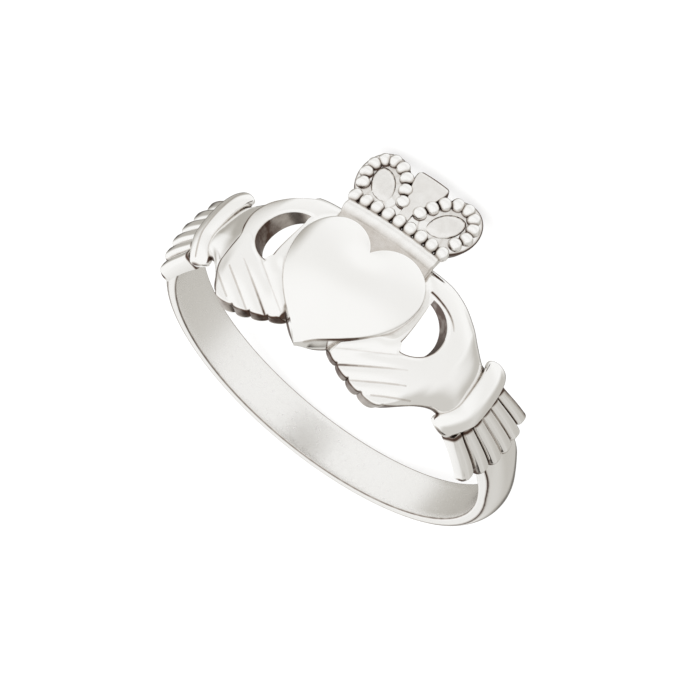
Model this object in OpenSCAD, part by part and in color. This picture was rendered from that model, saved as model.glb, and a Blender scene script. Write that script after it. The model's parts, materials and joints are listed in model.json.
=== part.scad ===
// Claddagh ring, cast in one piece: a band, two cuffs, two hands, a heart and a crown.
// As worn, the finger runs along Z, the crown is up and the head faces -Y.
// A point of the head is [across, up, rise]: along the arc, along the finger, above the bore.

/* [Band] */
// Inside diameter of the band
bore_d = 17.2; // [15:0.1:21]
// Width of the band along the finger
band_w = 2.25; // [1.9:0.05:2.8]
// Thickness of the band at the middle of its width
band_t = 1; // [0.8:0.05:1.2]
// Thickness of the band at its flat sides
band_side_t = 0.5; // [0.3:0.05:0.7]
// Thickness of the shoulders at their middle, where they come out of the cuffs
shoulder_t = 1.06; // [1.02:0.02:1.1]
// Thickness of the shoulders at their sides
shoulder_side_t = 0.75; // [0.6:0.05:0.85]
// Length of each shoulder's slope down to the band
shoulder_len = 3.6; // [2:0.1:5]

/* [Head] */
// Rise of the head's hollow underside above the bore
hollow_rise = 0.55; // [0.5:0.05:0.7]
// Fall of the head towards the finger, for each millimetre towards the crown
head_fall = 0.08; // [0.04:0.01:0.08]

/* [Heart] */
// Width of the heart across the head
heart_w = 7; // [6.4:0.1:7.2]
// Height of the lobes above the middle of the band
heart_up = 2.75; // [2.4:0.05:2.9]
// Reach of the point below the middle of the band
heart_down = 4.15; // [3.8:0.05:4.5]
// Rise of the heart's lower edge above the bore
heart_edge_rise = 1; // [0.9:0.05:1.1]
// Height of the bevel from that edge to the rim of the dome
heart_bevel = 0.5; // [0.3:0.05:0.7]
// Height of the dome above its rim
heart_dome = 0.7; // [0.3:0.05:1]

/* [Hands] */
// Height of the thumbs above the middle of the band
hand_up = 3.28; // [3.1:0.02:3.4]
// Reach of the fingers below the middle of the band
hand_down = 4; // [3.8:0.05:4.2]
// Rise of the back of each hand above the bore
hand_rise = 1.6; // [1.45:0.05:1.75]
// Half the width of a finger
finger_r = 0.46; // [0.4:0.01:0.5]
// Radius of the crescent between thumb, palm and heart
crescent_r = 1.56; // [1.4:0.02:1.6]
// Ledge between the heart and the crescent
crescent_ledge = 0.26; // [0.2:0.02:0.4]

/* [Cuffs] */
// Distance along the arc from the middle of the head to the middle of each roll
roll_across = 8.75; // [8.5:0.05:9]
// Width of each roll along the arc
roll_w = 1.45; // [1.2:0.05:1.6]
// Length of each roll across the wrist
roll_len = 4.55; // [4.3:0.05:4.8]
// Rise of each roll above the bore
roll_rise = 1.6; // [1.5:0.05:1.75]
// Number of pleats in each frill
pleats = 6; // [5:1:7]
// Length of the middle of each frill along the arc
frill_len = 3.55; // [3.2:0.05:3.8]
// How much longer each frill is along its upper edge than along its lower edge
frill_slant = 0.6; // [0.3:0.05:0.8]
// Width of each frill where it leaves the roll
frill_root_w = 3.6; // [3.2:0.05:3.8]
// Width of each frill at its free end
frill_end_w = 4.7; // [4.3:0.05:5]
// Rise of the pleats above the bore
pleat_rise = 1.25; // [1.2:0.05:1.35]

/* [Crown] */
// Height of the crown's top above the middle of the band
crown_up = 6.9; // [6.6:0.05:7.1]
// Height of the crown's bar above the middle of the band
bar_up = 3.08; // [3:0.02:3.2]
// Width of that bar
bar_w = 5.5; // [5.2:0.05:5.7]
// Height of that bar
bar_h = 0.55; // [0.45:0.05:0.65]
// Width of the crown across its lobes
crown_w = 7.2; // [6.9:0.05:7.4]
// Rise of the crown's plate above the bore at the bar
crown_rise = 1; // [0.9:0.05:1.1]
// Radius of the beads
bead_r = 0.31; // [0.28:0.01:0.32]
// Beads in the row above the bar
row_beads = 9; // [8:1:10]
// Beads round each lobe
lobe_beads = 10; // [9:1:11]

/* [Hidden] */

silver = [0.83, 0.82, 0.8];
bore_r = bore_d / 2;
// Radius at which distances along the arc are measured
arc_r = bore_r + 1.6;
// How far each part of the head starts below its hollow underside, which is cut last
heart_foot = -0.5;
palm_foot = -0.35;
finger_foot = -0.2;
crown_foot = -0.65;
// Rise of the cuffs' open undersides above the bore
cuff_under = 0.25;

// The band ends inside the hands, at this angle from the middle of the head
band_end = 35;
band_end_slope = 4;

// Sections of a hand, each a row: across, upper edge, lower edge and rise,
// as shares of the roll's place, hand_up, hand_down and hand_rise
hand_sections = [
    [0.20, 1.00, 0.80, 0.72],
    [0.30, 1.00, 0.88, 0.80],
    [0.41, 0.99, 0.93, 0.88],
    [0.51, 0.97, 0.93, 0.96],
    [0.59, 0.91, 0.84, 1.00],
    [0.65, 0.86, 0.73, 1.00],
    [0.72, 0.78, 0.60, 0.97],
    [0.80, 0.66, 0.48, 0.89],
    [0.90, 0.55, 0.41, 0.82],
    [0.98, 0.53, 0.40, 0.80],
];
// Fingers, each a row: tip across, tip down, knuckle across and knuckle down,
// as shares of the roll's place and hand_down
finger_rows = [
    [0.190, 0.83, 0.470, 0.33],
    [0.285, 0.92, 0.560, 0.45],
    [0.385, 0.97, 0.635, 0.56],
    [0.490, 0.96, 0.715, 0.57],
];
// Fingers along their length, each row: share of the length, width and rise
finger_shape = [
    [0.00, 0.55, 0.66],
    [0.05, 0.85, 0.76],
    [0.15, 1.00, 0.84],
    [0.45, 1.00, 0.92],
    [0.80, 0.95, 0.94],
    [1.00, 0.70, 0.84],
];

// Heart: radius and middle of each lobe
lobe_r = heart_w * 0.263;
lobe_c = [heart_w / 2 - lobe_r, heart_up - lobe_r];
heart_mid = [0, -heart_down / 12];

// Crown: bar, row of beads and beaded lobes
bar_low = bar_up;
bar_high = bar_low + bar_h;
row_up = bar_high + bead_r + 0.08;
crown_fall = head_fall + 0.04;
leaf_half = [1.52, (crown_up - bar_high) / 2];
leaf_mid = [crown_w / 2 - leaf_half[0], crown_up - leaf_half[1]];
leaf_inset = 0.79;
// How far the petal stands above the lobes
petal_proud = 0.2;
leaf_lean = 0.2;
first_bead = 198;
last_bead = -38;

// Cuffs: the frill sits a little nearer the heart's point than the roll
frill_shift = -0.15;
frill_start = roll_across + roll_w / 2 - 0.4;
// Half the width of the fold between two pleats
fold_w = 0.03;

// Radius of the band's domed outside, across its width
band_dome = band_t - band_side_t;
band_dome_r = (band_w * band_w / 4 + band_dome * band_dome) / (2 * band_dome);

// Lying, the ring leans on the crown's back edge and the back of its band
crown_back_r = (bore_r + hollow_rise - head_fall * crown_up)
    * cos((leaf_mid[0] + leaf_lean * leaf_half[1]) / arc_r * 180 / PI);
band_back_r = bore_r + band_side_t;
lean = atan((crown_up - band_w / 2) / (crown_back_r + band_back_r));
rest_z = band_w / 2 * cos(lean) + band_back_r * sin(lean);
crown_front_r = bore_r + crown_rise - crown_fall * (crown_up - bar_high) + petal_proud;
front_y = crown_front_r * cos(lean) + crown_up * sin(lean);
back_y = (bore_r + band_t - band_dome_r) * cos(lean) + band_dome_r;

// Place in space of a point of the head
function wrap(p) =
    let (a = p[0] / arc_r * 180 / PI, r = bore_r + p[2]) [r * sin(a), -r * cos(a), p[1]];

function wrap_all(loops) = [for (loop = loops) [for (p = loop) wrap(p)]];

function mix(a, b, t) = a + (b - a) * t;

function mean(points) = [for (k = [0:2]) [for (p = points) p[k]] * [for (p = points) 1] / len(points)];

function bezier(a, b, c, d, t) =
    pow(1 - t, 3) * a + 3 * t * pow(1 - t, 2) * b + 3 * t * t * (1 - t) * c + pow(t, 3) * d;

// Heart's outline, from the cleft down its right side to the point and back up the left
function heart_right() =
    let (
        cleft = 180 - acos(lobe_c[0] / lobe_r),
        side = lobe_c + [lobe_r, 0],
        tip = [0, -heart_down]
    )
    concat(
        [for (i = [0:10]) lobe_c + lobe_r * [cos(cleft * (1 - i / 10)), sin(cleft * (1 - i / 10))]],
        [for (i = [1:9]) bezier(side, [side[0], mix(side[1], tip[1], 0.375)],
            [side[0] * 0.65, mix(tip[1], side[1], 0.335)], tip, i / 9)]
    );

function heart_outline() =
    let (half = heart_right(), n = len(half))
    concat(half, [for (i = [n - 2:-1:1]) [-half[i][0], half[i][1]]]);

// Heart's outline drawn in towards its middle, at a rise that falls towards the crown
function heart_loop(share, rise) =
    [for (p = heart_outline()) let (q = mix(heart_mid, p, share)) [q[0], q[1], rise - head_fall * q[1]]];

// Ellipse of a crown lobe, at a rise that falls towards the crown's top
function leaf_loop(share, rise, n = 28) =
    [for (i = [0:n - 1])
        let (a = i * 360 / n, up = leaf_mid[1] + leaf_half[1] * share * sin(a))
        [leaf_mid[0] + leaf_half[0] * share * cos(a) + leaf_lean * (up - leaf_mid[1]), up,
            rise - crown_fall * (up - bar_high)]];

// Closed body through loops that all have the same number of points, with its faces turned outward.
// Its ends are fans round their middle, or ladders for loops that run out along a top and back along a base.
module loft(loops, ladder = false) {
    n = len(loops[0]);
    m = len(loops);
    end = (m - 1) * n;
    points = concat([for (loop = loops) each loop], [mean(loops[0]), mean(loops[m - 1])]);
    sides = [for (i = [0:m - 2], j = [0:n - 1])
        let (a = i * n + j, b = i * n + (j + 1) % n) each [[a, a + n, b], [b, a + n, b + n]]];
    cap = ladder
        ? [for (j = [0:n / 2 - 2]) each [[j, j + 1, n - 2 - j], [j, n - 2 - j, n - 1 - j]]]
        : [for (j = [0:n - 1]) [n, j, (j + 1) % n]];
    first = [for (f = cap) [for (k = f) k == n ? m * n : k]];
    last = [for (f = cap) [for (k = [f[1], f[0], f[2]]) k == n ? m * n + 1 : end + k]];
    faces = concat(sides, first, last);
    turned = [for (f = faces) cross(points[f[0]], points[f[1]]) * points[f[2]]] * [for (f = faces) 1];
    polyhedron(points, turned < 0 ? faces : [for (f = faces) [f[0], f[2], f[1]]]);
}

// Loft of points on the head
module head_loft(loops, ladder = false) loft(wrap_all(loops), ladder);

// A right-hand piece and its mirror image
module both_sides() {
    children();
    mirror([1, 0, 0]) children();
}

// Band with flat sides and a low domed outside
module band() {
    half = band_w / 2;
    reach = asin(half / band_dome_r);
    profile = concat(
        [[bore_r, half], [bore_r, -half]],
        [for (i = [0:16]) let (a = mix(-reach, reach, i / 16))
            [bore_r + band_t - band_dome_r + band_dome_r * cos(a), band_dome_r * sin(a)]]
    );
    // Corners of the gap for the head, each a row: distance from the finger's axis and angle
    gap = [
        [bore_r * 0.6, band_end + 3 * band_end_slope],
        [bore_r - 0.01, band_end],
        [bore_r + 0.8, band_end - band_end_slope],
        [bore_r * 2, band_end - band_end_slope],
    ];
    right = [for (corner = gap) corner[0] * [sin(corner[1]), -cos(corner[1])]];
    left = [for (i = [len(gap) - 1:-1:0]) [-right[i][0], right[i][1]]];
    difference() {
        rotate_extrude($fn = 96) polygon(profile);
        translate([0, 0, -band_w])
            linear_extrude(2 * band_w) polygon(concat(right, left));
    }
}

// Thicker stretch of the band that comes out from under a frill
module shoulder() {
    half = band_w / 2 - 0.03;
    start = frill_start + 0.6;
    end = frill_start + frill_len + shoulder_len;
    steps = 7;
    head_loft([for (i = [0:steps])
        let (
            across = mix(start, end, i / steps),
            fall = max(0, (i / steps - 0.3) / 0.7),
            slope = fall * fall * (3 - 2 * fall),
            top = mix(shoulder_t, band_t - 0.04, slope),
            side = mix(shoulder_side_t, band_side_t - 0.04, slope)
        )
        concat(
            [[across, half, band_side_t * 0.6]],
            [for (s = [1:-0.25:-1]) [across, s * half, mix(side, top, sqrt(1 - 0.999 * s * s))]],
            [[across, -half, band_side_t * 0.6]]
        )
    ]);
}

// Rounded roll of a cuff, arched over the wrist
module roll() {
    thick = 0.35;
    arch_low = 0.35;
    end_turn = 98;
    head_loft([for (i = [0:14])
        let (a = mix(-end_turn, end_turn, i / 14), up = (roll_len / 2 - thick) * sin(a),
            rise = arch_low + (roll_rise - thick - arch_low) * cos(a))
        [for (k = [0:11])
            let (b = k * 30)
            [roll_across + roll_w / 2 * cos(b), up + thick * sin(b) * sin(a),
                rise + thick * sin(b) * cos(a)]]
    ]);
}

// Frill of rounded pleats that fan out from under the roll
module frill() {
    // Rows: share of the length, height of the pleats' crests and of the folds between them
    shape = [
        [0.00, 1.00, 0.86],
        [0.30, 0.95, 0.74],
        [0.85, 1.00, 0.76],
        [0.96, 0.97, 0.74],
        [1.00, 0.84, 0.62],
    ];
    head_loft([for (row = shape)
        let (
            width = mix(frill_root_w, frill_end_w, row[0]),
            tops = [for (i = [0:pleats - 1])
                let (
                    middle = (i + 0.5) / pleats - 0.5,
                    end = frill_len - 2 * middle * middle + frill_slant * middle,
                    droop = 1.2 * middle * middle * (0.5 + row[0])
                )
                for (k = [0:6])
                    [
                        frill_start + end * row[0],
                        frill_shift + width * (i / pleats - 0.5) + mix(fold_w, width / pleats - fold_w, k / 6),
                        pleat_rise * mix(row[2], row[1], sin(30 * k)) - droop,
                    ]]
        )
        concat(tops, [for (i = [len(tops) - 1:-1:0]) [tops[i][0], tops[i][1], cuff_under]])
    ], ladder = true);
}

// Cuff: shoulder, roll and frill
module cuff() {
    shoulder();
    roll();
    frill();
}

// Palm, thumb and wrist of one hand, before the crescent is cut
module palm() {
    spread = [0, 0.1, 0.3, 0.65, 1, 1.35, 1.7, 1.9, 2];
    head_loft([for (row = hand_sections)
        let (
            across = roll_across * row[0],
            high = hand_up * row[1],
            low = -hand_down * row[2],
            top = hand_rise * row[3]
        )
        concat(
            [[across, low, palm_foot]],
            [for (w = spread) let (s = w - 1, up = mix(low, high, w / 2))
                [across, up, top - 0.45 * pow(abs(s), 3) - head_fall * up]],
            [[across, high, palm_foot]]
        )
    ]);
}

// One finger, from its round tip to its knuckle
module finger(row) {
    tip = [row[0] * roll_across, -row[1] * hand_down];
    knuckle = [row[2] * roll_across, -row[3] * hand_down];
    along = (knuckle - tip) / norm(knuckle - tip);
    head_loft([for (part = finger_shape)
        let (at = mix(tip, knuckle, part[0]), w = finger_r * part[1], top = hand_rise * part[2] + 0.04)
        [for (k = [0:8])
            let (
                s = k == 0 ? -1 : k == 8 ? 1 : (k - 4) / 3,
                p = at + s * w * [along[1], -along[0]]
            )
            [p[0], p[1], k == 0 || k == 8 ? finger_foot
                : top - 0.25 * (1 - sqrt(1 - 0.99 * s * s)) - head_fall * p[1]]]
    ]);
}

module hand() {
    palm();
    for (row = finger_rows) finger(row);
}

// Domed heart with a bevelled side
module heart() {
    rim_share = 0.94;
    rim = heart_edge_rise + heart_bevel;
    head_loft(concat(
        [heart_loop(0.4, heart_foot), heart_loop(1, heart_foot), heart_loop(1, heart_edge_rise)],
        [for (share = [rim_share, 0.86, 0.72, 0.52, 0.28])
            heart_loop(share, rim + heart_dome * (1 - pow(share / rim_share, 2)))]
    ));
}

// Plain strip along the arc, used between the heart and the lobes
module strip(half_w, low, high, rise, fall, foot, round) {
    head_loft([for (i = [-4:4])
        let (across = half_w * i / 4, middle = (low + high) / 2)
        [
            [across, low, foot],
            [across, low, rise - round - fall * (low - bar_low)],
            [across, mix(low, high, 0.2), rise - fall * (low - bar_low)],
            [across, mix(low, high, 0.8), rise - fall * (high - bar_low)],
            [across, high, rise - round - fall * (high - bar_low)],
            [across, high, foot],
        ]
    ]);
}

// Smooth fan between the lobes, on a low web that joins it to them
module petal() {
    // Rows: share of the height from the row of beads, half width of the fan and of the web
    shape = [
        [0.00, 0.33, 1.20],
        [0.40, 0.44, 1.20],
        [0.74, 0.70, 1.10],
        [0.82, 0.82, 0.86],
        [0.94, 0.90, 0.94],
        [1.00, 0.80, 0.84],
    ];
    web_drop = 0.15;
    head_loft([for (row = shape)
        let (
            up = mix(row_up, crown_up - 0.1, row[0]),
            plate = crown_rise - crown_fall * (up - bar_high),
            low = [for (s = [-1, 1]) [[s * row[2], up, crown_foot + 0.1], [s * row[2], up, plate - web_drop]]]
        )
        concat(
            low[0],
            [[-row[1] - 0.02, up, plate - web_drop + 0.01]],
            [for (s = [-1:0.5:1]) [s * row[1], up, plate + petal_proud - 0.07 * s * s]],
            [[row[1] + 0.02, up, plate - web_drop + 0.01]],
            [low[1][1], low[1][0]]
        )
    ]);
}

// Lobe of the crown with its smooth leaf and its beads
module crown_lobe() {
    head_loft([
        leaf_loop(0.4, crown_foot - 0.1), leaf_loop(1, crown_foot - 0.1),
        leaf_loop(1, crown_rise - 0.12), leaf_loop(0.93, crown_rise), leaf_loop(0.4, crown_rise + 0.01)
    ]);
    head_loft([
        leaf_loop(0.3, crown_rise - 0.2), leaf_loop(0.56, crown_rise - 0.2),
        leaf_loop(0.52, crown_rise + 0.1), leaf_loop(0.36, crown_rise + 0.22),
        leaf_loop(0.15, crown_rise + 0.27)
    ]);
    for (i = [0:lobe_beads - 1]) {
        a = mix(first_bead, last_bead, i / (lobe_beads - 1));
        up = leaf_half[1] * leaf_inset * sin(a);
        bead([leaf_mid[0] + leaf_half[0] * leaf_inset * cos(a) + leaf_lean * up, leaf_mid[1] + up]);
    }
}

// Bead sunk a little more than half in the crown's plate
module bead(at) {
    rotate([0, 0, at[0] / arc_r * 180 / PI])
        translate([0, -bore_r - crown_rise + 0.04 + crown_fall * (at[1] - bar_high), at[1]])
            rotate([90, 0, 0])
                sphere(bead_r, $fn = 24);
}

// Bar, row of beads, lobes and petal
module crown() {
    row_half = (bar_w - bead_r) / 2;
    strip(bar_w / 2, bar_low, bar_high, crown_rise + 0.2, head_fall, crown_foot, 0.12);
    strip(bar_w / 2 + 0.05, bar_high - 0.1, row_up + 0.3, crown_rise, crown_fall, crown_foot + 0.05, 0.05);
    for (i = [0:row_beads - 1]) bead([mix(-row_half, row_half, i / (row_beads - 1)), row_up]);
    both_sides() crown_lobe();
    petal();
}

// Crescent-shaped window between thumb, palm and heart, cut through the head
module crescent() {
    middle = (heart_w / 2 + crescent_ledge + crescent_r / 2);
    turn = middle / arc_r * 180 / PI;
    inner = heart_w / 2 + crescent_ledge - middle - 0.06;
    centre_up = lobe_c[1] * 0.4;
    reach = 4;
    outline = concat(
        [for (a = [-80:10:88]) [inner + crescent_r * cos(a), centre_up + crescent_r * sin(a)]],
        [for (a = [60:-20:-60]) [inner + 0.08 * cos(a), centre_up + crescent_r * 0.75 * sin(a)]]
    );
    rotate([0, 0, turn])
        translate([0, -bore_r, 0])
            rotate([90, 0, 0])
                linear_extrude(height = reach)
                    polygon(outline);
}

// Plain plate that joins the heart's lobes to the crown's bar
module neck() {
    side_inset = 0.1;
    under_heart = 2;
    under_bar = 0.15;
    strip(bar_w / 2 - side_inset, heart_up - under_heart, bar_low + under_bar, crown_rise, head_fall,
        crown_foot + 0.2, 0.02);
}

// Heart, hands and crown on their hollow underside
module head() {
    difference() {
        union() {
            heart();
            both_sides() hand();
            neck();
            crown();
        }
        translate([0, 0, -heart_down * 1.5])
            cylinder(
                h = heart_down * 1.5 + crown_up * 1.2,
                r1 = bore_r + hollow_rise + head_fall * heart_down * 1.5,
                r2 = bore_r + hollow_rise - head_fall * crown_up * 1.2,
                $fn = 96
            );
        both_sides() crescent();
    }
}

// The ring as worn
module worn_ring() {
    band();
    both_sides() cuff();
    head();
}

// The ring laid on its side, on its crown and the back of its band
module ring() {
    color(silver)
        translate([0, (front_y - back_y) / 2, rest_z])
            rotate([-lean, 0, 0])
                rotate([0, 180, 0])
                    worn_ring();
}

ring();
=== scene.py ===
# Claddagh ring in polished silver, cast in one piece, lying on its side.
# The pieces are drawn in millimetres on the ring as worn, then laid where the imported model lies.
# A point of the head is (across, up, rise): along the arc, along the finger, above the bore.

import json
import math

import bpy
import numpy as np
from mathutils import Matrix, Vector
from mathutils.bvhtree import BVHTree


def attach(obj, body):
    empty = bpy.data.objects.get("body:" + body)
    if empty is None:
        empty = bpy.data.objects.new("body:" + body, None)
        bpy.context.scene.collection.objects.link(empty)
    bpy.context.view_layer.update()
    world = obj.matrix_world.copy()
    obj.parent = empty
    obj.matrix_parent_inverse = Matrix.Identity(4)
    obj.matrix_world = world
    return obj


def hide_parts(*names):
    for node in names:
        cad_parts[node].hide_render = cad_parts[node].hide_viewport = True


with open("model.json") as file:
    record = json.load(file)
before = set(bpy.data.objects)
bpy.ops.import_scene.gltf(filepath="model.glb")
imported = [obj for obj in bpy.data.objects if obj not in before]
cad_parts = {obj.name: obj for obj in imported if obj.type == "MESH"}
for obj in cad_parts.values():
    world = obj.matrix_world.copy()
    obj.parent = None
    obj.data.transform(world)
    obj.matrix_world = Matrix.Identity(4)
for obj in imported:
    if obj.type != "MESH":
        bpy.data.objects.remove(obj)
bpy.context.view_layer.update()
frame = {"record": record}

# Sizes of the ring, in mm, as in the CAD model
BORE_R = 8.6
ARC_R = BORE_R + 1.6
BAND_W = 2.25
BAND_T = 1.0
BAND_SIDE_T = 0.5
SHOULDER_T = 1.06
SHOULDER_SIDE_T = 0.75
SHOULDER_LEN = 3.6
HOLLOW_RISE = 0.55
HEAD_FALL = 0.08
HEART_W = 7.0
HEART_UP = 2.75
HEART_DOWN = 4.15
HEART_EDGE = 1.0
HEART_BEVEL = 0.5
HEART_DOME = 0.7
CRESCENT_R = 1.56
CRESCENT_LEDGE = 0.26
ROLL_ACROSS = 8.75
ROLL_W = 1.45
ROLL_LEN = 4.55
ROLL_RISE = 1.6
PLEATS = 6
FRILL_LEN = 3.55
FRILL_SLANT = 0.6
FRILL_ROOT_W = 3.6
FRILL_END_W = 4.7
FRILL_SHIFT = -0.15
PLEAT_RISE = 1.25
CUFF_UNDER = 0.25
CROWN_UP = 6.9
BAR_UP = 3.08
BAR_W = 5.5
BAR_H = 0.55
CROWN_W = 7.2
CROWN_RISE = 1.0
BEAD_R = 0.31
ROW_BEADS = 9
LOBE_BEADS = 9

BAR_HIGH = BAR_UP + BAR_H
ROW_UP = BAR_HIGH + BEAD_R + 0.08
CROWN_FALL = HEAD_FALL + 0.04
LOBE_HALF = (1.52, (CROWN_UP - BAR_HIGH) / 2)
LOBE_MID = np.array([CROWN_W / 2 - LOBE_HALF[0], CROWN_UP - LOBE_HALF[1]])
LOBE_LEAN = 0.2
FRILL_START = ROLL_ACROSS + ROLL_W / 2 - 0.4
HEART_LOBE_R = HEART_W * 0.263
HEART_MID = np.array([0, -HEART_DOWN / 12])
HEART_RIM = HEART_EDGE + HEART_BEVEL
ROW_BEAD_HALF = (0.34, 0.38)
LOBE_BEAD_HALF = (0.35, 0.335)
LEAF_INWARD = 0.15

# How finely some shapes are divided, for the places that are painted row by row
FRILL_ROWS = np.concatenate([np.linspace(0, 0.9, 30), np.linspace(0.9, 1, 9)[1:]])
PLEAT_STEPS = 24
PETAL_ROWS = 50
PETAL_COLUMNS = 41
WINDOW_FAR = 60

# Steepest fold between faces that still looks smooth, in degrees
SMOOTH_FOLD = 42

# The worn ring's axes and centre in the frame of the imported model
bore = next(m for m in frame["record"]["mounts"] if m["name"] == "finger_bore")
WORN_Z = np.array(bore["axis"], float)
WORN_X = np.array([-1.0, 0.0, 0.0])
WORN_Y = np.cross(WORN_Z, WORN_X)
CENTRE = np.array(bore["pos_m"], float)


def laid_down(p):
    """Points of the worn ring in mm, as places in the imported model's frame in metres."""
    p = np.asarray(p, float)
    return (p[..., 0:1] * WORN_X + p[..., 1:2] * WORN_Y + p[..., 2:3] * WORN_Z) * 0.001 + CENTRE


def wrap(p):
    """Points of the head, bent round the bore, as points of the worn ring."""
    p = np.asarray(p, float)
    a = p[..., 0] / ARC_R
    r = BORE_R + p[..., 2]
    return np.stack([r * np.sin(a), -r * np.cos(a), p[..., 1]], axis=-1)


def turned(p, angle):
    """Points of the worn ring, turned about the finger."""
    c, s = math.cos(angle), math.sin(angle)
    return np.stack([c * p[..., 0] - s * p[..., 1], s * p[..., 0] + c * p[..., 1], p[..., 2]], axis=-1)


def smooth(x, low, high):
    """Smooth step from 0 at low to 1 at high."""
    t = np.clip((np.asarray(x, float) - low) / (high - low), 0, 1)
    return t * t * (3 - 2 * t)


def mix(a, b, t):
    return a + (b - a) * t


def curve(points, t):
    """Smooth curve through points, each a pair whose first number grows."""
    points = np.asarray(points, float)
    x, y = points[:, 0], points[:, 1]
    d = np.diff(y) / np.diff(x)
    slope = np.concatenate([[d[0]], (d[:-1] + d[1:]) / 2, [d[-1]]])
    flat = np.concatenate([[False], d[:-1] * d[1:] <= 0, [False]])
    slope[flat] = 0
    t = np.clip(np.asarray(t, float), x[0], x[-1])
    k = np.clip(np.searchsorted(x, t, side="right") - 1, 0, len(x) - 2)
    h = x[k + 1] - x[k]
    s = (t - x[k]) / h
    return (
        (2 * s**3 - 3 * s**2 + 1) * y[k]
        + (s**3 - 2 * s**2 + s) * h * slope[k]
        + (-2 * s**3 + 3 * s**2) * y[k + 1]
        + (s**3 - s**2) * h * slope[k + 1]
    )


def away_from(points, line, closed=False):
    """Distance of flat points from a line of straight stretches."""
    line = np.asarray(line, float)
    ends = np.roll(line, -1, axis=0) if closed else line[1:]
    best = np.full(points.shape[:-1], np.inf)
    for start, end in zip(line, ends):
        stretch = end - start
        t = np.clip(((points - start) @ stretch) / (stretch @ stretch), 0, 1)
        best = np.minimum(best, np.linalg.norm(points - (start + t[..., None] * stretch), axis=-1))
    return best


def share_along(points, line):
    """Distance of flat points from a line, and how far along it the nearest place is, from 0 to 1."""
    best = np.full(len(points), np.inf)
    share = np.zeros(len(points))
    count = len(line) - 1
    for k in range(count):
        stretch = line[k + 1] - line[k]
        t = np.clip(((points - line[k]) @ stretch) / (stretch @ stretch), 0, 1)
        far = np.linalg.norm(points - (line[k] + t[:, None] * stretch), axis=-1)
        closer = far < best
        best[closer] = far[closer]
        share[closer] = ((k + t) / count)[closer]
    return best, share


def eased(points, rounds=3):
    """Line through points with its corners cut away."""
    line = np.asarray(points, float)
    for _ in range(rounds):
        cut = np.concatenate([mix(line[:-1], line[1:], 0.25), mix(line[:-1], line[1:], 0.75)], axis=1)
        line = np.concatenate([line[:1], cut.reshape(-1, 2), line[-1:]])
    return line


def evenly(line, count):
    """Points at even steps along a line, and how far along it each of them is."""
    step = np.concatenate([[0], np.cumsum(np.linalg.norm(np.diff(line, axis=0), axis=1))])
    at = np.linspace(0, step[-1], count)
    return np.stack([np.interp(at, step, line[:, k]) for k in (0, 1)], axis=-1), at


# Meshes: a body is its points, quads and triangles, in mm on the worn ring

pieces = []


def add_object(name, data):
    obj = bpy.data.objects.new(name, data)
    bpy.context.scene.collection.objects.link(obj)
    return obj


def loop_faces(count, size):
    """Quads between neighbouring loops of points."""
    i = np.arange(count - 1)[:, None] * size
    j = np.arange(size)[None, :]
    k = (j + 1) % size
    return np.stack([i + j, i + k, i + size + k, i + size + j], axis=-1).reshape(-1, 4)


def halves(quads):
    return np.concatenate([quads[:, [0, 1, 2]], quads[:, [0, 2, 3]]])


def turned_out(verts, quads, tris):
    """The body with its faces turned outward."""
    a, b, c = (verts[np.concatenate([halves(quads), tris])[:, k]] for k in range(3))
    if np.einsum("ij,ij->i", np.cross(a, b), c).sum() < 0:
        return verts, quads[:, ::-1], tris[:, ::-1]
    return verts, quads, tris


def closed_tube(loops):
    """Body through loops of points, closed at both ends by a fan."""
    loops = np.asarray(loops, float)
    m, n, _ = loops.shape
    verts = np.concatenate([loops.reshape(-1, 3), loops[0].mean(0)[None], loops[-1].mean(0)[None]])
    j = np.arange(n)
    k = (j + 1) % n
    end = (m - 1) * n
    first = np.stack([np.full(n, m * n), k, j], axis=-1)
    last = np.stack([np.full(n, m * n + 1), end + j, end + k], axis=-1)
    return turned_out(verts, loop_faces(m, n), np.concatenate([first, last]))


def head_body(loops):
    return closed_tube(wrap(loops))


def is_left(name):
    return name.endswith("left")


def mirrored(body):
    points, quads, tris = body
    return points * np.array([-1, 1, 1]), quads[:, ::-1], tris[:, ::-1]


def on_side(name, body):
    """The body, mirrored if its piece is a left one."""
    return mirrored(body) if is_left(name) else body


def both_sides(bodies):
    return bodies + [mirrored(body) for body in bodies]


def with_base(tops, foot, fall=HEAD_FALL):
    """Loop along a line of tops and back beneath it, on a base that falls towards the crown."""
    base = tops[::-1].copy()
    base[:, 2] = foot - fall * base[:, 1]
    return np.concatenate([tops, base])


def show_folds(mesh, fold):
    mesh.shade_smooth()
    mesh.set_sharp_from_angle(angle=math.radians(fold))


def mesh_object(name, bodies, fold=SMOOTH_FOLD):
    verts, faces, at = [], [], 0
    for points, quads, tris in bodies:
        verts.append(laid_down(points))
        faces += (quads + at).tolist() + (tris + at).tolist()
        at += len(points)
    mesh = bpy.data.meshes.new(name)
    mesh.from_pydata(np.concatenate(verts).tolist(), [], faces)
    mesh.validate()
    show_folds(mesh, fold)
    return add_object(name, mesh)


def piece(name, bodies, fold=SMOOTH_FOLD):
    pieces.append(mesh_object(name, bodies, fold))


def pair(name, body, fold=SMOOTH_FOLD):
    piece(name + "_right", [body], fold)
    piece(name + "_left", [mirrored(body)], fold)


# Band: flat sides, low domed outside, eased edges, thicker where it meets the cuffs


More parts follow.
